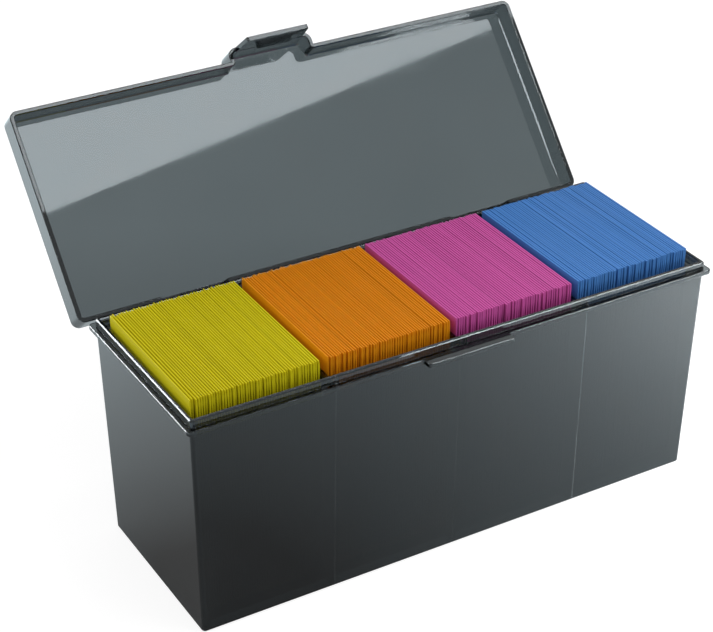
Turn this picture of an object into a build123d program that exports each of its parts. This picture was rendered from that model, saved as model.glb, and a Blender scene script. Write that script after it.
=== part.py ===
"""Long card storage box with a hinged snap lid, three slide-in partitions and four decks of sleeved cards.

Millimetres, +Z up. The origin is the centre of the tub's underside, +X runs along the box and +Y
points to the hinges. The lid is modelled open, against its stop.
"""

import os
from math import cos, radians, sin, tan

from build123d import *

# Cards and sleeves, which set the size of the whole box
card_width = 63.5
card_height = 88.0
card_thickness = 0.40
card_play = 0.04
card_side_play = 0.35
card_head_play = 3.1
sleeve_film = 0.14
sleeve_seam = 0.9
sleeve_spacing = 0.272
sleeves_per_deck = 50
deck_names = ("yellow", "orange", "magenta", "blue")

# Compartments and partitions
deck_slack = 0.9
side_gap = 3.3
seat_clearance = 0.05
partition_names = ("left", "middle", "right")
partition_thickness = 1.5
partition_drop = 3.5
partition_corner_radius = 3.0
partition_end_clearance = 0.4
groove_clearance = 0.15
groove_rib_width = 0.9
groove_rib_reach = 2.0
groove_rib_drop = 1.5

# Tub
wall = 1.9
draft_angle = 1.2
tub_corner_radius = 1.5
cavity_corner_radius = 0.8
floor_thickness = 2.0
foot_height = 3.5
foot_edge_bevel = 0.4
foot_rim_width = 3.2
foot_rib_width = 1.6
deck_rise = 3.5
collar_height = 3.0
collar_corner_radius = 1.0
collar_edge_bevel = 0.5
flange_thickness = 1.9
flange_overhang = 2.1
flange_corner_radius = 1.8
flange_edge_bevel = 0.3

# Catch ledge on the front of the flange
catch_half_length = 18.6
catch_reach = 3.9
catch_corner_radius = 1.0
catch_root_radius = 0.8

# Lid
lid_open_angle = 131.5
lid_overhang = 0.6
lid_clearance = 0.1
lid_headroom = 2.3
lid_floor = 1.8
lid_corner_radius = 3.2
lid_edge_bevel = 0.8
lid_inner_bevel = 0.6
lip_edge_bevel = 0.3
skirt_wall = 1.8

# Latch bump of the skirt and the tongue below it
tongue_clearance = 0.4
tongue_thickness = 1.8
tongue_length = 10.5
tongue_root_half_width = 14.9
tongue_tip_half_width = 13.7
tongue_tip_radius = 0.8
latch_half_width = 18.8
latch_corner_radius = 3.6
hook_half_width = 7.2
hook_lap = 1.1
hook_clearance = 0.4
hook_land = 1.4
hook_ramp = 3.4

# Hinges
hinge_spacing = 130.6
hinge_width = 28.4
hinge_setback = 2.7
hinge_drop = 2.8
hinge_notch_height = 4.5
pin_radius = 1.25
pin_clearance = 0.05
ear_thickness = 2.4
ear_wall = 0.75
ear_root = 0.8
ear_web_height = 8.2
heel_lap = 1.2
heel_thickness = 1.6
heel_gap = 0.1
clip_width = 14.0
clip_wall = 1.4
clip_mouth_angle = -45.0
clip_mouth_share = 0.8

# Length by which every cut runs past the faces that it opens
overrun = 1.0

# Sizes of a sleeved card and of a deck
sleeve_thickness = card_thickness + 2 * (card_play + sleeve_film)
sleeve_width = card_width + 2 * (card_side_play + sleeve_seam)
sleeve_height = card_height + card_head_play + sleeve_seam
sleeve_pitch = sleeve_thickness + sleeve_spacing
deck_length = sleeves_per_deck * sleeve_pitch

# Compartment row on the tub's floor
compartment_length = deck_length + deck_slack
compartment_pitch = compartment_length + partition_thickness
floor_length = len(deck_names) * compartment_pitch - partition_thickness
floor_width = sleeve_width + 2 * side_gap
deck_places = [(i - (len(deck_names) - 1) / 2) * compartment_pitch for i in range(len(deck_names))]
partition_places = [
    (i - (len(partition_names) - 1) / 2) * compartment_pitch for i in range(len(partition_names))
]

# Levels above the ground
floor_top = foot_height + floor_thickness
seat_level = floor_top + seat_clearance
deck_top = seat_level + sleeve_height
collar_top = deck_top - deck_rise
flange_top = collar_top - collar_height
flange_bottom = flange_top - flange_thickness
partition_top = collar_top - partition_drop
groove_rib_top = collar_top - groove_rib_drop

# Outer sizes of the drafted tub, its collar and its flange
draft_slope = tan(radians(draft_angle))
base_length = floor_length + 2 * (wall - floor_top * draft_slope)
base_width = floor_width + 2 * (wall - floor_top * draft_slope)
collar_length = base_length + 2 * flange_top * draft_slope
collar_width = base_width + 2 * flange_top * draft_slope
flange_length = collar_length + 2 * flange_overhang
flange_width = collar_width + 2 * flange_overhang
catch_front = flange_width / 2 + catch_reach

# Lid sizes, and its frame: on the hinge axis, with its Z square to the lid's plate
lid_length = flange_length + 2 * lid_overhang
lid_width = flange_width + 2 * lid_overhang
lip_level = flange_top + lid_clearance
lid_depth = deck_top - lip_level + lid_headroom + lid_floor
latch_front = catch_front + tongue_clearance + tongue_thickness
hinge_y = flange_width / 2 + hinge_setback
hinge_z = flange_top - hinge_drop
hinge_places = (-hinge_spacing / 2, hinge_spacing / 2)
lip_rise = lip_level - hinge_z
lid_frame = Plane((0, hinge_y, hinge_z)).rotated((-lid_open_angle, 0, 0))
lid_axis = Axis(lid_frame.origin, lid_frame.z_dir)
lip_frame = lid_frame.offset(lip_rise)


def inner_half_width(level):
    """Half the clear width between the long walls at a level above the ground."""
    return base_width / 2 - wall + level * draft_slope


def lid_section(x):
    """Plane across the lid at x, with its own X to the rear and its own Y up when the lid is shut."""
    return Plane((x, hinge_y, hinge_z), x_dir=lid_frame.y_dir, z_dir=(1, 0, 0))


# Tub: drafted shell with a flange, a catch ledge, partition grooves, a foot rim and hinge clips
rib_step = (partition_thickness + groove_rib_width) / 2 + groove_clearance
rib_places = [place + side * rib_step for place in partition_places for side in (-1, 1)]
rib_front_low = inner_half_width(floor_top) - groove_rib_reach
rib_front_high = inner_half_width(groove_rib_top) - groove_rib_reach
rib_back_low = inner_half_width(floor_top) + wall / 2
rib_back_high = inner_half_width(groove_rib_top) + wall / 2
rib_foot = floor_top - floor_thickness / 2
clip_radius = pin_radius + pin_clearance + clip_wall

with BuildPart() as tub:
    with BuildSketch():
        Rectangle(base_length, base_width)
    extrude(amount=(flange_bottom + flange_top) / 2)
    draft(tub.faces().filter_by(Plane.XY, reverse=True), Plane.XY, -draft_angle)
    fillet(tub.edges().filter_by(Plane.XY, reverse=True), tub_corner_radius)
    chamfer(tub.faces().sort_by(Axis.Z)[0].edges(), foot_edge_bevel)
    with BuildSketch(Plane.XY.offset(flange_bottom)) as flange_outline:
        RectangleRounded(flange_length, flange_width, flange_corner_radius)
        with Locations((0, -flange_width / 2)):
            Rectangle(2 * catch_half_length, 2 * catch_reach)
        fillet(flange_outline.vertices().group_by(Axis.Y)[1].sort_by(Axis.X)[1:3], catch_root_radius)
        fillet(flange_outline.vertices().group_by(Axis.Y)[0], catch_corner_radius)
    extrude(amount=flange_thickness)
    chamfer(tub.faces().filter_by(Plane.XY).sort_by(Axis.Z)[1].edges(), flange_edge_bevel)
    chamfer(tub.faces().sort_by(Axis.Z)[-1].edges(), flange_edge_bevel)
    with BuildSketch(Plane.XY.offset(flange_top)):
        RectangleRounded(collar_length, collar_width, collar_corner_radius)
    extrude(amount=collar_height)
    chamfer(tub.faces().sort_by(Axis.Z)[-1].edges(), collar_edge_bevel)
    floor_plane = Plane.XY.offset(floor_top)
    with BuildSketch(floor_plane):
        Rectangle(floor_length, floor_width)
    extrude(amount=collar_top - floor_top, mode=Mode.SUBTRACT)
    draft(tub.faces(Select.LAST).filter_by(Plane.XY, reverse=True), floor_plane, draft_angle)
    chamfer(tub.faces().sort_by(Axis.Z)[-1].inner_wires()[0].edges(), collar_edge_bevel)
    cavity_corners = tub.edges(Select.LAST).filter_by(Plane.XY, reverse=True).sort_by(SortBy.LENGTH)[-4:]
    fillet(cavity_corners, cavity_corner_radius)
    with BuildSketch():
        RectangleRounded(
            base_length - 2 * foot_rim_width,
            base_width - 2 * foot_rim_width,
            cavity_corner_radius,
        )
        Rectangle(base_length, foot_rib_width, mode=Mode.SUBTRACT)
        with Locations(*[(place, 0) for place in partition_places]):
            Rectangle(foot_rib_width, base_width, mode=Mode.SUBTRACT)
    extrude(amount=foot_height, mode=Mode.SUBTRACT)
    with BuildSketch(*[Plane.YZ.offset(place) for place in rib_places]):
        Polygon(
            (rib_front_low, rib_foot),
            (rib_back_low, rib_foot),
            (rib_back_high, groove_rib_top),
            (rib_front_high, groove_rib_top),
            align=None,
        )
        mirror(about=Plane.YZ)
    extrude(amount=groove_rib_width / 2, both=True)
    with BuildSketch(*[Plane.YZ.offset(place) for place in hinge_places]):
        with Locations((hinge_y, hinge_z)):
            Circle(clip_radius)
        with Locations((hinge_y, flange_bottom)):
            Rectangle(
                hinge_setback + flange_overhang, flange_thickness, align=(Align.MAX, Align.MIN)
            )
        with Locations((hinge_y, hinge_z)):
            Circle(pin_radius + pin_clearance, mode=Mode.SUBTRACT)
            Rectangle(
                clip_radius + overrun,
                2 * pin_radius * clip_mouth_share,
                rotation=clip_mouth_angle,
                align=(Align.MIN, Align.CENTER),
                mode=Mode.SUBTRACT,
            )
    extrude(amount=clip_width / 2, both=True)

# Lid: shallow tray with a latch bump in its front skirt, hinge notches, ears and pins at the rear
skirt_face = lid_width / 2 - hinge_y
notch_top = lip_rise + hinge_notch_height
web_top = lip_rise + ear_web_height
ear_radius = pin_radius + ear_wall
ear_step = (hinge_width - ear_thickness) / 2
ear_places = [place + side * ear_step for place in hinge_places for side in (-1, 1)]
heel_angle = lid_open_angle - 180
heel_reach = hinge_setback + heel_lap
heel_offset = heel_thickness / 2 - (hinge_drop - flange_thickness - heel_gap)
heel_side = radians(heel_angle + 90)

with BuildPart() as lid:
    with BuildSketch(lip_frame) as tray_outline:
        with Locations((0, -hinge_y - lid_width / 2)):
            Rectangle(2 * latch_half_width, 2 * (latch_front - lid_width / 2))
        fillet(tray_outline.vertices().group_by(Axis.Y)[0], latch_corner_radius)
        with Locations((0, -hinge_y)):
            RectangleRounded(lid_length, lid_width, lid_corner_radius)
    extrude(amount=lid_depth)
    chamfer(lid.faces().sort_by(lid_axis)[-1].edges(), lid_edge_bevel)
    with BuildSketch(lip_frame):
        add(tray_outline.sketch_local)
        offset(amount=-skirt_wall)
    extrude(amount=lid_depth - lid_floor, mode=Mode.SUBTRACT)
    chamfer(lid.faces().filter_by(lid_axis).sort_by(lid_axis)[-2].edges(), lid_inner_bevel)
    chamfer(lid.faces().filter_by(lid_axis).sort_by(lid_axis)[0].edges(), lip_edge_bevel)
    with BuildSketch(lip_frame):
        with Locations(*[(place, skirt_face - skirt_wall / 2) for place in hinge_places]):
            Rectangle(hinge_width, skirt_wall + 2 * overrun)
    extrude(amount=hinge_notch_height, mode=Mode.SUBTRACT)
    with BuildSketch(*[lid_section(place) for place in ear_places]):
        Circle(ear_radius)
        Polygon(
            (skirt_face - ear_root, web_top),
            (skirt_face - ear_root, notch_top),
            (-ear_radius, 0),
            (ear_radius, 0),
            (skirt_face, web_top),
            align=None,
        )
        with Locations((heel_offset * cos(heel_side), heel_offset * sin(heel_side))):
            Rectangle(
                heel_reach, heel_thickness, rotation=heel_angle, align=(Align.MIN, Align.CENTER)
            )
    extrude(amount=ear_thickness / 2, both=True)
    with BuildSketch(*[lid_section(place) for place in hinge_places]):
        Circle(pin_radius)
    extrude(amount=hinge_width / 2, both=True)

# Latch tongue: tapered plate below the bump, with a ramped hook on its inner face
tongue_face = Plane(
    lip_frame.from_local_coords((0, -hinge_y - latch_front, 0)),
    x_dir=(1, 0, 0),
    z_dir=-lid_frame.y_dir,
)
hook_root = tongue_thickness - latch_front - hinge_y
hook_tip = hook_lap - catch_front - hinge_y
hook_top = lip_rise - lid_clearance - flange_thickness - hook_clearance
hook_low = hook_top - hook_land

with BuildPart() as latch_tongue:
    with BuildSketch(tongue_face) as tongue_outline:
        Polygon(
            (-tongue_root_half_width, 0),
            (-tongue_tip_half_width, -tongue_length),
            (tongue_tip_half_width, -tongue_length),
            (tongue_root_half_width, 0),
            align=None,
        )
        fillet(tongue_outline.vertices().group_by(Axis.Y)[0], tongue_tip_radius)
    extrude(amount=-tongue_thickness)
    with BuildSketch(lid_section(0)):
        Polygon(
            (hook_root - tongue_thickness / 2, hook_top),
            (hook_root, hook_top),
            (hook_tip, hook_top),
            (hook_tip, hook_low),
            (hook_root, hook_low - hook_ramp),
            (hook_root - tongue_thickness / 2, hook_low - hook_ramp),
            align=None,
        )
    extrude(amount=hook_half_width, both=True)

# Partitions: plates that slide down between the groove ribs
partitions = {}
partition_low = inner_half_width(seat_level) - partition_end_clearance
partition_high = inner_half_width(partition_top) - partition_end_clearance
for name, place in zip(partition_names, partition_places):
    with BuildPart() as partition:
        with BuildSketch(Plane.YZ.offset(place)) as plate:
            Polygon(
                (-partition_low, seat_level),
                (partition_low, seat_level),
                (partition_high, partition_top),
                (-partition_high, partition_top),
                align=None,
            )
            fillet(plate.vertices().group_by(Axis.Y)[-1], partition_corner_radius)
        extrude(amount=partition_thickness / 2, both=True)
    partitions[name] = partition

# Decks: sleeves that are open at the bottom, each over its own card
sleeves = {}
cards = {}
for name, place in zip(deck_names, deck_places):
    with BuildPart() as sleeve_row:
        with BuildSketch(Plane.XY.offset(seat_level)):
            with Locations((place, 0)):
                with GridLocations(sleeve_pitch, 0, sleeves_per_deck, 1):
                    Rectangle(sleeve_thickness, sleeve_width)
        extrude(amount=sleeve_height)
        with BuildSketch(Plane.XY.offset(seat_level)):
            with Locations((place, 0)):
                with GridLocations(sleeve_pitch, 0, sleeves_per_deck, 1):
                    Rectangle(sleeve_thickness - 2 * sleeve_film, sleeve_width - 2 * sleeve_seam)
        extrude(amount=sleeve_height - sleeve_seam, mode=Mode.SUBTRACT)
    sleeves[name] = sleeve_row
    with BuildPart() as card_row:
        with BuildSketch(Plane.XY.offset(seat_level)):
            with Locations((place, 0)):
                with GridLocations(sleeve_pitch, 0, sleeves_per_deck, 1):
                    Rectangle(card_thickness, card_width)
        extrude(amount=card_height)
    cards[name] = card_row

# Files, one for each piece
os.makedirs("parts", exist_ok=True)
tub.part.label = "tub"
export_step(tub.part, "parts/tub.step")
lid.part.label = "lid"
export_step(lid.part, "parts/lid.step")
latch_tongue.part.label = "latch_tongue"
export_step(latch_tongue.part, "parts/latch_tongue.step")
for name, partition in partitions.items():
    partition.part.label = f"{name}_partition"
    export_step(partition.part, f"parts/{name}_partition.step")
for name in deck_names:
    sleeves[name].part.label = f"{name}_sleeves"
    export_step(sleeves[name].part, f"parts/{name}_sleeves.step")
    cards[name].part.label = f"{name}_cards"
    export_step(cards[name].part, f"parts/{name}_cards.step")
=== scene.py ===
"""Dresses the card storage box.

Smoke mouldings, four decks of coloured sleeves with cards in them, a pale studio and a camera.
"""

import logging
import math
import random
from contextlib import contextmanager
from dataclasses import dataclass, field
from enum import Enum
from typing import Callable, Iterator

import bmesh
import bpy
from mathutils import Matrix, Vector


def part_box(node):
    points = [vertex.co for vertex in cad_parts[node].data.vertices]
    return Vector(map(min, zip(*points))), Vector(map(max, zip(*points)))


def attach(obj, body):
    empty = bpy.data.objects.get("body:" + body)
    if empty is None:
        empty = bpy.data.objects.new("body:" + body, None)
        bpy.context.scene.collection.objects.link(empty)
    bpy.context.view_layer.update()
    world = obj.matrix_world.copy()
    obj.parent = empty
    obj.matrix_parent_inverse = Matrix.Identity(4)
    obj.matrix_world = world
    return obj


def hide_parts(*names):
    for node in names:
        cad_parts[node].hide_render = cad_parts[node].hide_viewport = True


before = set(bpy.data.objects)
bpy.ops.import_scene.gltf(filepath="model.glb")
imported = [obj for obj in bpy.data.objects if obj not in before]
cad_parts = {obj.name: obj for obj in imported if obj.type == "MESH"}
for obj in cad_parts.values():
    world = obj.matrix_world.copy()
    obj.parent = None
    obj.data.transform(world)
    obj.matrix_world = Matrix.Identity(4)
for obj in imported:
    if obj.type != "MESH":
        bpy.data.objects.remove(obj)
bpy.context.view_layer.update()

MM = 0.001
TOUCH = 0.01 * MM
PARTITIONS = ("left_partition", "middle_partition", "right_partition")
TONE_ATTRIBUTE = "sleeve_tone"
FIRST_SEED = 11
ALONG_X, ALONG_Y, ALONG_Z = Vector((1, 0, 0)), Vector((0, 1, 0)), Vector((0, 0, 1))
Colour = tuple[float, float, float]
Socket = bpy.types.NodeSocket
MeshItem = bmesh.types.BMVert | bmesh.types.BMEdge | bmesh.types.BMFace
WHITE: Colour = (1.0, 1.0, 1.0)
log = logging.getLogger("card_box")


def spot(x: float, y: float, z: float, unit: float = 1.0) -> Vector:
    """Makes a dataclass field for a place, a direction or a size.

    Args:
        x: First value.
        y: Second value.
        z: Third value.
        unit: Metres in one unit of the values.

    Returns:
        The field, which gives each owner a vector of its own.
    """
    return field(default_factory=lambda: Vector((x, y, z)) * unit)


class Tint(Enum):
    """Linear colours of the sleeve films, one for each deck of the row."""

    YELLOW = (0.755, 0.672, 0.010)
    ORANGE = (0.88, 0.325, 0.006)
    MAGENTA = (0.685, 0.113, 0.427)
    BLUE = (0.077, 0.257, 0.650)

    @property
    def label(self) -> str:
        """Name of the deck that wears this tint."""
        return self.name.lower()


class Element(Enum):
    """Kinds of mesh element, each by the name of its selection mode."""

    POINT = "VERT"
    EDGE = "EDGE"
    FACE = "FACE"

    def of(self, mesh: bmesh.types.BMesh) -> bmesh.types.BMElemSeq:
        """Finds the elements of this kind.

        Args:
            mesh: The mesh that is edited.

        Returns:
            The mesh's points, edges or faces.
        """
        return {Element.POINT: mesh.verts, Element.EDGE: mesh.edges, Element.FACE: mesh.faces}[self]


@dataclass(frozen=True)
class RibGlint:
    """A painted highlight: a pale hazy line on the long walls at a rib, standing in for light that runs
    along the rib.
    """

    place: float
    strength: float


@dataclass(frozen=True)
class Stand:
    """How one deck stands in its compartment, and how full the heads of its sleeves are."""

    shift: float
    slope: float
    head_share: float
    ridge_share: float


DECK_STANDS = {
    Tint.YELLOW: Stand(-0.25 * MM, math.radians(-0.55), 0.58, 0.48),
    Tint.ORANGE: Stand(-0.30 * MM, math.radians(-0.05), 0.65, 0.54),
    Tint.MAGENTA: Stand(-0.30 * MM, math.radians(-0.05), 0.92, 0.76),
    Tint.BLUE: Stand(0.20 * MM, 0.0, 1.06, 0.88),
}


class Graph:
    """Node tree of one material or world, filled by short calls."""

    # Where most of a noise pattern's values lie.
    NOISE_LOW, NOISE_HIGH = 0.3, 0.7
    # Numbers of a colour Mix node's sockets, because their names are not unique.
    MIX_SHARE, MIX_FIRST, MIX_SECOND, MIX_RESULT = 0, 6, 7, 2

    def __init__(self, owner: bpy.types.Material | bpy.types.World) -> None:
        """Empties the owner's node tree.

        Args:
            owner: The material or world whose nodes are built.
        """
        owner.use_nodes = True
        self.tree = owner.node_tree
        self.tree.nodes.clear()

    def add(self, kind: str, settings: dict[str, object] | None = None, **inputs: object) -> bpy.types.Node:
        """Adds a node.

        Args:
            kind: Node type without the ShaderNode prefix.
            settings: Properties of the node itself.
            **inputs: Socket values, or sockets to link, with _ for each space of a socket's name.

        Returns:
            The new node.
        """
        node = self.tree.nodes.new(f"ShaderNode{kind}")
        for key, value in (settings or {}).items():
            setattr(node, key, value)
        for key, value in inputs.items():
            self.feed(node.inputs[key.replace("_", " ")], value)
        return node

    def feed(self, socket: Socket, value: object) -> None:
        """Links a socket to another one, or sets its value.

        Args:
            socket: The socket that takes the value.
            value: An output socket, or a plain value.
        """
        if isinstance(value, Socket):
            self.tree.links.new(value, socket)
        else:
            socket.default_value = value

    def place(self) -> Socket:
        """Object coordinates of the piece, in metres."""
        return self.add("TexCoord").outputs["Object"]

    def ray(self, kind: str) -> Socket:
        """Tells one kind of ray from the others.

        Args:
            kind: Camera, Transmission or Glossy.

        Returns:
            A socket that is 1 for such a ray and 0 for others.
        """
        return self.add("LightPath").outputs[f"Is {kind} Ray"]

    def seen(self) -> Socket:
        """Finds the rays that look at a surface directly or through clear plastic.

        Returns:
            A socket that is 1 for such a ray and 0 for others.
        """
        return self.math("MAXIMUM", self.ray("Camera"), self.ray("Transmission"))

    def noise(self, place: Socket, scale: float, detail: float = 2.0) -> Socket:
        """Adds a noise pattern.

        Args:
            place: Coordinates that the pattern follows.
            scale: Waves to the metre.
            detail: Octaves of finer waves.

        Returns:
            The pattern's value socket.
        """
        return self.add("TexNoise", Vector=place, Scale=scale, Detail=detail).outputs[0]

    def spread(self, value: Socket, low: float, high: float) -> Socket:
        """Maps a noise pattern to a range.

        Args:
            value: The pattern.
            low: Value where the pattern is lowest.
            high: Value where the pattern is highest.

        Returns:
            The mapped socket.
        """
        return self.ramp(value, self.NOISE_LOW, self.NOISE_HIGH, low, high)

    def ramp(self, value: Socket, start: float, end: float, low: float, high: float) -> Socket:
        """Maps a value from one range to another.

        Args:
            value: The socket that is mapped.
            start: Where the first range begins.
            end: Where the first range ends.
            low: Result at the start.
            high: Result at the end.

        Returns:
            The mapped socket.
        """
        node = self.add("MapRange", Value=value, From_Min=start, From_Max=end, To_Min=low, To_Max=high)
        return node.outputs[0]

    def math(self, operation: str, *values: Socket | float) -> Socket:
        """Calculates with one or two values.

        Args:
            operation: What is calculated.
            *values: Sockets or plain numbers.

        Returns:
            The result's socket.
        """
        node = self.add("Math", {"operation": operation})
        for socket, value in zip(node.inputs, values):
            self.feed(socket, value)
        return node.outputs[0]

    def blend(self, share: Socket, first: Socket | Colour, second: Socket | Colour) -> Socket:
        """Mixes two colours by a pattern.

        Args:
            share: Share of the second colour.
            first: Colour where the share is 0.
            second: Colour where the share is 1.

        Returns:
            The mixed colour socket.
        """
        node = self.add("Mix", {"data_type": "RGBA"})
        self.feed(node.inputs[self.MIX_SHARE], share)
        for number, colour in ((self.MIX_FIRST, first), (self.MIX_SECOND, second)):
            self.feed(node.inputs[number], colour if isinstance(colour, Socket) else (*colour, 1.0))
        return node.outputs[self.MIX_RESULT]

    def bump(self, height: Socket, strength: float, depth: float) -> Socket:
        """Turns a pattern into a fine relief of the surface.

        Args:
            height: The pattern.
            strength: Share of the relief that shows.
            depth: Height of the relief, in metres.

        Returns:
            The normal's socket.
        """
        return self.add("Bump", Height=height, Strength=strength, Distance=depth).outputs[0]

    def close(
        self, shader: bpy.types.Node, output: str = "OutputMaterial", depth: bpy.types.Node | None = None
    ) -> None:
        """Links the last shader to the output.

        Args:
            shader: The shader of the surface.
            output: Output node type.
            depth: The shader of the space inside, if there is one.
        """
        end = self.add(output, Surface=shader.outputs[0])
        if depth is not None:
            self.feed(end.inputs["Volume"], depth.outputs[0])


@dataclass(frozen=True)
class SmokePlastic:
    """Clear smoke-grey moulded plastic with a polished face."""

    name: str = "smoke_plastic_clear"
    clear: Colour = (0.575, 0.54, 0.52)
    dense: Colour = (0.50, 0.475, 0.46)
    gloss_low: float = 0.012
    gloss_high: float = 0.045
    ior: float = 1.59
    polish: float = 0.35
    shine: Colour = (0.82, 0.94, 1.0)
    depth_tint: Colour = (0.0, 0.083, 0.115)
    depth_density: float = 1060.0
    flow_scale: float = 9.0
    flow_detail: float = 3.0
    smudge_scale: float = 42.0
    smudge_detail: float = 5.0
    peel_scale: float = 260.0
    peel_strength: float = 0.5
    peel_depth: float = 0.002 * MM

    def material(self) -> bpy.types.Material:
        """Builds the node material.

        Returns:
            The material, with tint, gloss and skin from noise.
        """
        material = bpy.data.materials.new(self.name)
        graph = Graph(material)
        place = graph.place()
        flow = graph.spread(graph.noise(place, self.flow_scale, self.flow_detail), 0.0, 1.0)
        smudge = graph.noise(place, self.smudge_scale, self.smudge_detail)
        tint, clearness = self.look(graph, place, graph.blend(flow, self.clear, self.dense))
        shader = graph.add(
            "BsdfPrincipled",
            Base_Color=tint,
            Roughness=graph.spread(smudge, self.gloss_low, self.gloss_high),
            Normal=graph.bump(graph.noise(place, self.peel_scale), self.peel_strength, self.peel_depth),
            IOR=self.ior,
            Transmission_Weight=clearness,
            Coat_Weight=self.polish,
            Coat_Roughness=self.gloss_low,
            Specular_Tint=(*self.shine, 1.0),
        )
        depth = graph.add("VolumeAbsorption", Color=(*self.depth_tint, 1.0), Density=self.depth_density)
        graph.close(shader, depth=depth)
        return material

    def look(self, graph: Graph, place: Socket, tint: Socket) -> tuple[Socket, Socket | float]:
        """Says how the plastic differs from place to place, which here it doesn't.

        Args:
            graph: The material's nodes.
            place: Object coordinates.
            tint: Colour of the clear plastic.

        Returns:
            The colour, and the share of light that passes.
        """
        return tint, 1.0


@dataclass(frozen=True)
class TubPlastic(SmokePlastic):
    """Smoke plastic of the tub: clear at the rim, dark below it, with painted highlight lines at the ribs,
    pale and hazy.
    """

    name: str = "smoke_plastic_ribbed"
    depth_density: float = 600.0
    wall_share: float = 0.09
    rim_level: float = 89.1 * MM
    rim_fade: float = 0.5 * MM
    # Painted highlight: the rib lines are paler and less clear than the wall.
    glint_tint: Colour = (0.62, 0.66, 0.68)
    glint_haze: float = 0.32
    glints: tuple[RibGlint, ...] = (
        RibGlint(-53.9 * MM, 0.45),
        RibGlint(-1.5 * MM, 0.30),
        RibGlint(55.2 * MM, 1.0),
    )
    glint_core: float = 0.12 * MM
    glint_edge: float = 0.32 * MM
    glint_wall: float = 37.2 * MM
    glint_fade: float = 0.2 * MM
    glint_low: float = 0.25

    def look(self, graph: Graph, place: Socket, tint: Socket) -> tuple[Socket, Socket | float]:
        """Darkens the walls and lays the painted highlight lines, pale and hazy, over them.

        Args:
            graph: The material's nodes.
            place: Object coordinates.
            tint: Colour of the clear rim.

        Returns:
            The colour, and the share of light that passes.
        """
        glint_lines = self.glint_lines(graph, place)
        colour = graph.blend(glint_lines, self.walls(graph, place, tint), self.glint_tint)
        return colour, graph.ramp(glint_lines, 0.0, 1.0, 1.0, 1.0 - self.glint_haze)

    def walls(self, graph: Graph, place: Socket, tint: Socket) -> Socket:
        """Makes the walls below the rim darker than the rim.

        Args:
            graph: The material's nodes.
            place: Object coordinates.
            tint: Colour of the clear rim.

        Returns:
            The colour socket.
        """
        height = graph.add("SeparateXYZ", Vector=place).outputs["Z"]
        share = graph.ramp(height, self.rim_level - self.rim_fade, self.rim_level, self.wall_share, 1.0)
        return graph.add("VectorMath", {"operation": "SCALE"}, Vector=tint, Scale=share).outputs["Vector"]

    def glint_lines(self, graph: Graph, place: Socket) -> Socket:
        """Finds the painted highlight lines, pale and hazy, that stand in for light running along the ribs
        on the long walls.

        Args:
            graph: The material's nodes.
            place: Object coordinates.

        Returns:
            A socket that is 1 on the strongest line and 0 away from the lines.
        """
        axes = graph.add("SeparateXYZ", Vector=place).outputs
        glint_sum: Socket | float = 0.0
        for glint in self.glints:
            away = graph.math("ABSOLUTE", graph.math("SUBTRACT", axes["X"], glint.place))
            near = graph.ramp(away, self.glint_core, self.glint_edge, glint.strength, 0.0)
            glint_sum = graph.math("MAXIMUM", glint_sum, near)
        outward = graph.math("ABSOLUTE", axes["Y"])
        wall = graph.ramp(outward, self.glint_wall - self.glint_fade, self.glint_wall, 0.0, 1.0)
        uneven = graph.spread(graph.noise(place, self.smudge_scale), self.glint_low, 1.0)
        return graph.math("MULTIPLY", graph.math("MULTIPLY", glint_sum, wall), uneven)


@dataclass(frozen=True)
class SleeveFilm:
    """Matte coloured film of a card sleeve."""

    tint: Tint
    fade_share: float = 0.87
    ior: float = 1.49
    shine: float = 0.2
    gloss_low: float = 0.36
    gloss_high: float = 0.52
    mottle_scale: float = 60.0
    mottle_detail: float = 4.0
    mottle_low: float = 0.7
    grain_scale: float = 2600.0
    grain_strength: float = 0.4
    grain_depth: float = 0.02 * MM

    def material(self) -> bpy.types.Material:
        """Builds the node material.

        Returns:
            The material, whose tone differs from sleeve to sleeve.
        """
        material = bpy.data.materials.new(f"{self.tint.label}_sleeve_film")
        graph = Graph(material)
        place = graph.place()
        full: Colour = self.tint.value
        worn: Colour = tuple(channel * self.fade_share for channel in full)
        tone = graph.add("Attribute", {"attribute_name": TONE_ATTRIBUTE}).outputs["Fac"]
        mottle = graph.noise(place, self.mottle_scale, self.mottle_detail)
        share = graph.math("MULTIPLY", tone, graph.spread(mottle, self.mottle_low, 1.0))
        shader = graph.add(
            "BsdfPrincipled",
            Base_Color=graph.blend(share, full, worn),
            Roughness=graph.spread(mottle, self.gloss_low, self.gloss_high),
            Normal=graph.bump(graph.noise(place, self.grain_scale), self.grain_strength, self.grain_depth),
            IOR=self.ior,
            Specular_IOR_Level=self.shine,
        )
        graph.close(shader)
        return material


@dataclass(frozen=True)
class CardStock:
    """Coated white card with a faint fibre."""

    name: str = "card_stock_white"
    bright: Colour = (0.80, 0.79, 0.76)
    fibre: Colour = (0.70, 0.68, 0.64)
    gloss_low: float = 0.42
    gloss_high: float = 0.60
    fibre_scale: float = 900.0
    fibre_detail: float = 6.0
    fibre_strength: float = 0.5
    fibre_depth: float = 0.01 * MM

    def material(self) -> bpy.types.Material:
        """Builds the node material.

        Returns:
            The material, with fibres in its colour and skin.
        """
        material = bpy.data.materials.new(self.name)
        graph = Graph(material)
        fibre = graph.noise(graph.place(), self.fibre_scale, self.fibre_detail)
        shader = graph.add(
            "BsdfPrincipled",
            Base_Color=graph.blend(graph.spread(fibre, 0.0, 1.0), self.bright, self.fibre),
            Roughness=graph.spread(fibre, self.gloss_low, self.gloss_high),
            Normal=graph.bump(fibre, self.fibre_strength, self.fibre_depth),
        )
        graph.close(shader)
        return material


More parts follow.
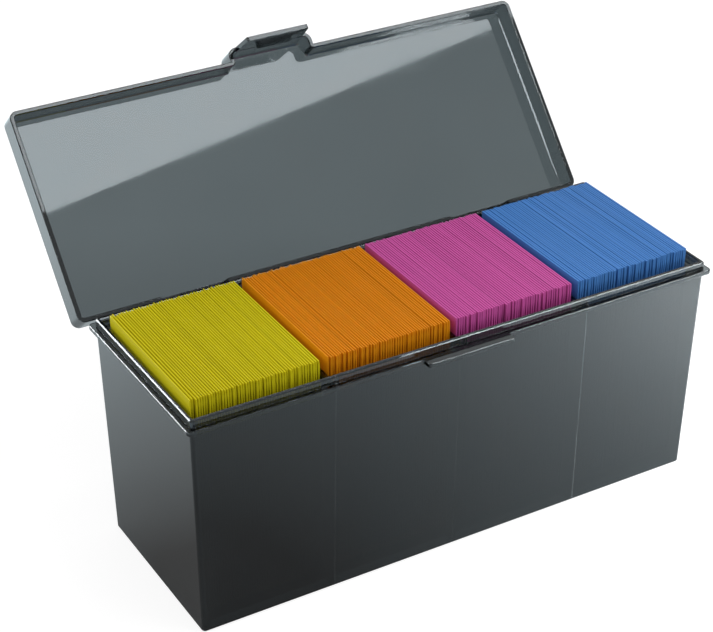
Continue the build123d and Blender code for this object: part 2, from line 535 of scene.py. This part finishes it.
class Bench:
    """Hand tools: selection, edit mode, blocks and joining."""

    @staticmethod
    def hold(*pieces: bpy.types.Object) -> None:
        """Selects only these pieces and makes the first one active.

        Args:
            *pieces: The pieces to work on.
        """
        bpy.ops.object.select_all(action="DESELECT")
        for piece in pieces:
            piece.select_set(True)
        bpy.context.view_layer.objects.active = pieces[0]

    @staticmethod
    @contextmanager
    def editing(piece: bpy.types.Object, element: Element) -> Iterator[None]:
        """Opens a piece in edit mode with nothing selected.

        Args:
            piece: The piece to shape.
            element: What is selected in it.

        Yields:
            Nothing; edit mode ends with the block.
        """
        Bench.hold(piece)
        bpy.ops.object.mode_set(mode="EDIT")
        bpy.ops.mesh.select_mode(type=element.value)
        bpy.ops.mesh.select_all(action="DESELECT")
        yield
        bpy.ops.object.mode_set(mode="OBJECT")

    @staticmethod
    def pick(piece: bpy.types.Object, element: Element, test: Callable[[MeshItem], bool]) -> None:
        """Selects the elements that pass a test, and no others.

        Args:
            piece: The piece in edit mode.
            element: The kind of element that is tested.
            test: True for an element to select.
        """
        bpy.ops.mesh.select_mode(type=element.value)
        bpy.ops.mesh.select_all(action="DESELECT")
        mesh = bmesh.from_edit_mesh(piece.data)
        for item in element.of(mesh):
            if test(item):
                item.select_set(True)
        bmesh.update_edit_mesh(piece.data)

    @staticmethod
    def cut(place: Vector, normal: Vector) -> None:
        """Cuts new edges across the whole piece in edit mode.

        Args:
            place: A point of the cutting plane.
            normal: The plane's direction.
        """
        bpy.ops.mesh.select_all(action="SELECT")
        bpy.ops.mesh.bisect(plane_co=place, plane_no=normal)

    @staticmethod
    def block(name: str, size: Vector) -> bpy.types.Object:
        """Starts a piece as a block that stands on the origin.

        Args:
            name: The piece's name.
            size: Its length, width and height.

        Returns:
            The block, with its place in its mesh.
        """
        bpy.ops.object.select_all(action="DESELECT")
        bpy.ops.mesh.primitive_cube_add(size=1.0, location=(0, 0, size.z / 2))
        piece = bpy.context.active_object
        piece.name = piece.data.name = name
        piece.scale = size
        bpy.ops.object.transform_apply(location=True, rotation=True, scale=True)
        return piece

    @staticmethod
    def join(name: str, copies: list[bpy.types.Object]) -> bpy.types.Object:
        """Joins copies to one piece.

        Args:
            name: The joined piece's name.
            copies: Objects that each have their own mesh.

        Returns:
            The joined piece.
        """
        Bench.hold(*copies)
        bpy.ops.object.join()
        piece = bpy.context.active_object
        piece.name = piece.data.name = name
        return piece

    @staticmethod
    def dress(piece: bpy.types.Object, material: bpy.types.Material) -> None:
        """Gives a piece one material.

        Args:
            piece: The piece.
            material: Its finish.
        """
        piece.data.materials.clear()
        piece.data.materials.append(material)


@dataclass
class Moulding:
    """One moulded piece of the box: the solid's form with its edges rounded."""

    node: str
    body: str
    finish: bpy.types.Material
    weld_gap: float = 0.002 * MM
    flat_angle: float = math.radians(0.4)
    edge_angle: float = math.radians(32.0)
    edge_round: float = 0.07 * MM
    round_steps: int = 2
    smooth_angle: float = math.radians(40.0)

    def build(self) -> bpy.types.Object:
        """Welds the form, rounds its edges and dresses it.

        Returns:
            The finished piece.
        """
        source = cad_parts[self.node]
        piece = bpy.data.objects.new(f"{self.node}_moulding", source.data.copy())
        bpy.context.scene.collection.objects.link(piece)
        piece.data.name = piece.name
        with Bench.editing(piece, Element.POINT):
            bpy.ops.mesh.select_all(action="SELECT")
            bpy.ops.mesh.remove_doubles(threshold=self.weld_gap)
            bpy.ops.mesh.dissolve_limited(angle_limit=self.flat_angle)
        self.round_edges(piece)
        Bench.dress(piece, self.finish)
        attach(piece, self.body)
        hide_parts(self.node)
        return piece

    def round_edges(self, piece: bpy.types.Object) -> None:
        """Rounds the sharp edges and smooths the curved walls.

        Args:
            piece: The welded piece.
        """
        Bench.hold(piece)
        rounding = piece.modifiers.new("edge_round", "BEVEL")
        rounding.limit_method = "ANGLE"
        rounding.angle_limit = self.edge_angle
        rounding.width = self.edge_round
        rounding.segments = self.round_steps
        rounding.use_clamp_overlap = False
        bpy.ops.object.modifier_apply(modifier=rounding.name)
        bpy.ops.object.shade_smooth_by_angle(angle=self.smooth_angle)
        flatten = piece.modifiers.new("flat_walls", "WEIGHTED_NORMAL")
        flatten.keep_sharp = True
        bpy.ops.object.modifier_apply(modifier=flatten.name)


@dataclass
class Deck:
    """A row of sleeved cards that stand in one compartment."""

    tint: Tint
    film: bpy.types.Material
    stock: bpy.types.Material
    seed: int
    stand: Stand
    count: int = 50
    thickness: float = 0.76 * MM
    width: float = 66.0 * MM
    height: float = 92.0 * MM
    seam: float = 0.9 * MM
    seam_share: float = 0.36
    head: float = 2.6 * MM
    head_spread: tuple[float, ...] = (0.95, 1.0, 1.05)
    ridge: float = 0.2 * MM
    pinch: float = 7.5 * MM
    film_thickness: float = 0.14 * MM
    facing_down: float = -0.9
    card_size: Vector = spot(0.40, 63.5, 88.0, MM)
    card_corner: float = 3.0 * MM
    corner_steps: int = 5
    gap_low: float = 0.82
    gap_high: float = 1.12
    wide_gap_odds: float = 0.04
    wide_gap: float = 1.8
    side_stray: float = 0.55 * MM
    stray_spread: float = 0.5
    lift_stray: float = 0.25 * MM
    twist: float = math.radians(0.06)

    def build(self) -> list[bpy.types.Object]:
        """Builds the sleeves and the cards in them.

        Returns:
            The two finished pieces.
        """
        places = self.places()
        models = [self.sleeve(self.stand.head_share * share) for share in self.head_spread]
        sleeves = self.repeat(models, places, f"{self.tint.label}_sleeve_row")
        cards = self.repeat([self.card()], places, f"{self.tint.label}_card_row")
        for piece, finish, node, slot in (
            (sleeves, self.film, "sleeves", f"{self.tint.label}_film"),
            (cards, self.stock, "cards", "card_stock"),
        ):
            Bench.dress(piece, finish)
            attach(piece, f"{self.tint.label}_deck")
            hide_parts(f"{self.tint.label}_{node}")
        return [sleeves, cards]

    def places(self) -> list[Matrix]:
        """Works out where each sleeve stands, with uneven gaps and a little stray.

        Returns:
            One matrix for each sleeve, from the middle of its foot.
        """
        draw = random.Random(self.seed)
        low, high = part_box(f"{self.tint.label}_sleeves")
        gaps = [draw.uniform(self.gap_low, self.gap_high) for _ in range(self.count - 1)]
        gaps = [gap * self.wide_gap if draw.random() < self.wide_gap_odds else gap for gap in gaps]
        room = (high.x - low.x - self.count * self.thickness) / sum(gaps)
        lean = Matrix.Rotation(self.stand.slope, 4, "Y")
        x = low.x + self.thickness / 2 + self.stand.shift
        found = []
        for gap in [*gaps, 0.0]:
            aside = max(-1.0, min(1.0, draw.gauss(0, self.stray_spread))) * self.side_stray
            foot = Vector((x, aside, low.z + draw.random() * self.lift_stray))
            turn = Matrix.Rotation(draw.uniform(-1, 1) * self.twist, 4, "Z")
            found.append(Matrix.Translation(foot) @ (turn @ lean))
            x += self.thickness + gap * room
        return found

    def sleeve(self, head_share: float) -> bpy.types.Object:
        """Models one sleeve: a flat pocket, open at its foot, with its own head and thin welded sides.

        Args:
            head_share: Thickness of the head as a share of the pocket's.

        Returns:
            The sleeve, with the middle of its foot at the origin.
        """
        side = self.width / 2 - self.seam
        ridge_level = self.height - self.ridge
        head_level = self.height - self.head
        pinch_level = head_level - self.pinch
        piece = Bench.block("sleeve", Vector((self.thickness, self.width, self.height)))
        with Bench.editing(piece, Element.POINT):
            for level in (ridge_level, head_level, pinch_level):
                Bench.cut(ALONG_Z * level, ALONG_Z)
            for edge in (-side, side):
                Bench.cut(ALONG_Y * edge, ALONG_Y)
            self.swell(
                piece, lambda at: abs(at.y) > side + TOUCH and at.z < pinch_level + TOUCH, self.seam_share
            )
            self.swell(piece, lambda at: abs(at.z - ridge_level) < TOUCH, head_share)
            self.swell(piece, lambda at: at.z > ridge_level + TOUCH, self.stand.ridge_share)
            Bench.pick(piece, Element.FACE, self.is_mouth)
            bpy.ops.mesh.inset(thickness=self.film_thickness)
            bpy.ops.mesh.extrude_region_move(
                TRANSFORM_OT_translate={"value": (0, 0, head_level - self.film_thickness)}
            )
        return piece

    def is_mouth(self, face: bmesh.types.BMFace) -> bool:
        """Tells the face under a sleeve where its pocket opens.

        Args:
            face: A face of the sleeve.

        Returns:
            True for the middle face of the foot.
        """
        return face.normal.z < self.facing_down and abs(face.calc_center_median().y) < self.seam

    def swell(self, piece: bpy.types.Object, test: Callable[[Vector], bool], share: float) -> None:
        """Makes part of a sleeve thicker or thinner.

        Args:
            piece: The sleeve in edit mode.
            test: True for the places that change.
            share: The new thickness as a share of the old.
        """
        Bench.pick(piece, Element.POINT, lambda point: test(point.co))
        bpy.ops.transform.resize(value=(share, 1, 1), center_override=(0, 0, 0))

    def card(self) -> bpy.types.Object:
        """Models one card with rounded corners.

        Returns:
            The card, with the middle of its foot at the origin.
        """
        piece = Bench.block("card", self.card_size)
        with Bench.editing(piece, Element.EDGE):
            Bench.pick(piece, Element.EDGE, lambda edge: edge.calc_length() < 2 * self.card_size.x)
            bpy.ops.mesh.bevel(offset=self.card_corner, segments=self.corner_steps, affect="EDGES")
        return piece

    def repeat(self, models: list[bpy.types.Object], places: list[Matrix], name: str) -> bpy.types.Object:
        """Copies one of the models to every place and joins the copies.

        Args:
            models: The pieces that are copied, and then removed.
            places: Where the copies stand.
            name: The row's name.

        Returns:
            The joined row.
        """
        draw = random.Random(self.seed + 1)
        copies = []
        for place in places:
            mesh = draw.choice(models).data.copy()
            mesh.transform(place)
            tone = mesh.attributes.new(TONE_ATTRIBUTE, "FLOAT", "POINT")
            tone.data.foreach_set("value", [draw.random()] * len(mesh.vertices))
            copy = bpy.data.objects.new(name, mesh)
            bpy.context.scene.collection.objects.link(copy)
            copies.append(copy)
        for model in models:
            bpy.data.objects.remove(model)
        return Bench.join(name, copies)


@dataclass(frozen=True)
class Lamp:
    """A flat soft lamp, given by its middle, what it faces, its long side and its size."""

    name: str
    centre: Vector
    target: Vector
    along: Vector
    size: tuple[float, float]
    power: float

    def build(self) -> None:
        """Hangs the lamp, which the camera doesn't see."""
        away = (self.centre - self.target).normalized()
        side = (self.along - self.along.project(away)).normalized()
        data = bpy.data.lights.new(self.name, "AREA")
        data.shape = "RECTANGLE"
        data.size, data.size_y = self.size
        data.energy = self.power
        lamp = bpy.data.objects.new(self.name, data)
        turn = Matrix((side, away.cross(side), away)).transposed().to_4x4()
        lamp.matrix_world = Matrix.Translation(self.centre) @ turn
        lamp.visible_camera = False
        bpy.context.scene.collection.objects.link(lamp)


@dataclass
class Studio:
    """Pale floor, soft lamps, white surround and the camera."""

    floor_size: float = 6.0
    floor_level: float = -0.2 * MM
    floor_tone: float = 0.36
    floor_glow: float = 0.78
    mirror_tone: Colour = (0.78, 0.94, 1.0)
    # Painted shade: the floor's glow in mirror faces is dark in this pool near the object.
    painted_shade_centre: Vector = spot(-0.12, -0.05, 0.0)
    painted_shade_core: float = 0.06
    painted_shade_radius: float = 0.33
    sky: float = 0.60
    key_edge_start: Vector = spot(0.292, -0.603, 1.070)
    key_edge_end: Vector = spot(0.709, -0.446, 0.967)
    key_depth: float = 0.42
    key_overlap: float = 0.16
    key_power: float = 3.8
    rim_way: Vector = spot(-0.529, 0.781, 0.333)
    rim_distance: float = 0.8
    rim_size: tuple[float, float] = (0.30, 0.15)
    rim_power: float = 1.6
    edge_place: Vector = spot(0.224, -0.224, 0.33)
    edge_target: float = 0.04
    edge_along: Vector = spot(0.18, 0.016, -0.021)
    edge_depth: float = 0.03
    edge_power: float = 0.14
    side_place: Vector = spot(-0.63, -0.17, 0.57)
    side_size: tuple[float, float] = (0.12, 0.12)
    side_power: float = 0.26
    wash_place: Vector = spot(0.25, -0.11, 0.10)
    wash_size: tuple[float, float] = (0.12, 0.12)
    wash_power: float = 0.88
    camera_place: Vector = spot(-348.5, -559.3, 473.0, MM)
    camera_back: Vector = spot(-0.4334, -0.7429, 0.5102)
    camera_sight: float = 20.0
    lens: float = 101.37

    def build(self) -> None:
        """Builds the whole set."""
        self.floor()
        self.surround()
        for lamp in self.lamps():
            lamp.build()
        self.camera()

    def floor(self) -> None:
        """Lays the pale floor, which keeps a faint shadow of the object and glows in its mirror faces, with
        a painted shade pool near the object where that glow is dark.
        """
        bpy.ops.object.select_all(action="DESELECT")
        bpy.ops.mesh.primitive_plane_add(size=self.floor_size, location=(0, 0, self.floor_level))
        ground = bpy.context.active_object
        ground.name = "floor"
        material = bpy.data.materials.new("floor_paint")
        graph = Graph(material)
        shown = graph.math("MULTIPLY", graph.seen(), self.floor_glow)
        # Painted shade: the mirror glow fades to dark towards the pool near the object.
        away = graph.add("VectorMath", {"operation": "DISTANCE"})
        for socket, value in zip(away.inputs, (graph.place(), self.painted_shade_centre)):
            graph.feed(socket, value)
        outside_painted_shade = graph.ramp(away.outputs["Value"], self.painted_shade_core, self.painted_shade_radius, 0.0, 1.0)
        mirror = graph.ray("Glossy")
        tone = graph.blend(mirror, WHITE, self.mirror_tone)
        strength = graph.math("MAXIMUM", shown, graph.math("MULTIPLY", mirror, outside_painted_shade))
        glow = graph.add("Emission", Color=tone, Strength=strength)
        paint = graph.add("BsdfDiffuse", Color=(self.floor_tone, self.floor_tone, self.floor_tone, 1.0))
        both = graph.add("AddShader")
        for socket, shader in zip(both.inputs, (paint, glow)):
            graph.feed(socket, shader.outputs[0])
        graph.close(both)
        Bench.dress(ground, material)

    def surround(self) -> None:
        """Sets a white surround whose light on the object is softer than its look."""
        world = bpy.data.worlds.new("white_surround")
        bpy.context.scene.world = world
        graph = Graph(world)
        strength = graph.ramp(graph.seen(), 0.0, 1.0, self.sky, 1.0)
        graph.close(graph.add("Background", Color=(*WHITE, 1.0), Strength=strength), "OutputWorld")

    def lamps(self) -> list[Lamp]:
        """Works out the lamps from where the lid and the tub stand.

        Returns:
            The wide key lamp that the open lid mirrors, small lamps for the tub's rim, its front
            edge and the side of the lid, and one low over the floor.
        """
        lid_low, lid_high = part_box("lid")
        tub_low, tub_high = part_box("tub")
        lid_middle = (lid_low + lid_high) / 2
        lid_side = Vector((lid_high.x, lid_middle.y, lid_middle.z))
        rim = Vector((tub_low.x, 0.0, tub_high.z))
        front = Vector((self.edge_target, tub_low.y, tub_high.z))
        floor_spot = Vector((self.wash_place.x, self.wash_place.y, 0.0))
        key_along = self.key_edge_end - self.key_edge_start
        key_edge = (self.key_edge_start + self.key_edge_end) / 2
        up = key_along.cross(lid_middle - key_edge).normalized()
        rise = (up if up.z > 0 else -up) * self.key_depth / 2
        key_size = (key_along.length + 2 * self.key_overlap, self.key_depth)
        edge_size = (self.edge_along.length, self.edge_depth)
        rim_place = rim + self.rim_way * self.rim_distance
        return [
            Lamp("key_lamp", key_edge + rise, lid_middle + rise, key_along, key_size, self.key_power),
            Lamp("rim_lamp", rim_place, rim, ALONG_Y, self.rim_size, self.rim_power),
            Lamp("edge_lamp", self.edge_place, front, self.edge_along, edge_size, self.edge_power),
            Lamp("side_lamp", self.side_place, lid_side, ALONG_Y, self.side_size, self.side_power),
            Lamp("floor_lamp", self.wash_place, floor_spot, ALONG_X, self.wash_size, self.wash_power),
        ]

    def camera(self) -> None:
        """Sets the camera at the photographed angle."""
        data = bpy.data.cameras.new("camera")
        data.lens = self.lens
        data.clip_end = self.camera_sight
        camera = bpy.data.objects.new("camera", data)
        camera.location = self.camera_place
        camera.rotation_euler = self.camera_back.to_track_quat("Z", "Y").to_euler()
        bpy.context.scene.collection.objects.link(camera)
        bpy.context.scene.camera = camera


def main() -> None:
    """Builds every piece, the studio and the camera."""
    logging.basicConfig(level=logging.INFO)
    bpy.context.scene.view_settings.view_transform = "Standard"
    smoke = SmokePlastic().material()
    ribbed = TubPlastic().material()
    stock = CardStock().material()
    mouldings = [
        Moulding("tub", "tub", ribbed),
        Moulding("lid", "lid", smoke),
        Moulding("latch_tongue", "latch", smoke),
        *(Moulding(name, name, smoke) for name in PARTITIONS),
    ]
    for moulding in mouldings:
        log.info("built %s", moulding.build().name)
    for number, tint in enumerate(Tint):
        film = SleeveFilm(tint).material()
        for piece in Deck(tint, film, stock, FIRST_SEED + number, DECK_STANDS[tint]).build():
            log.info("built %s", piece.name)
    Studio().build()


if __name__ == "__main__":
    main()
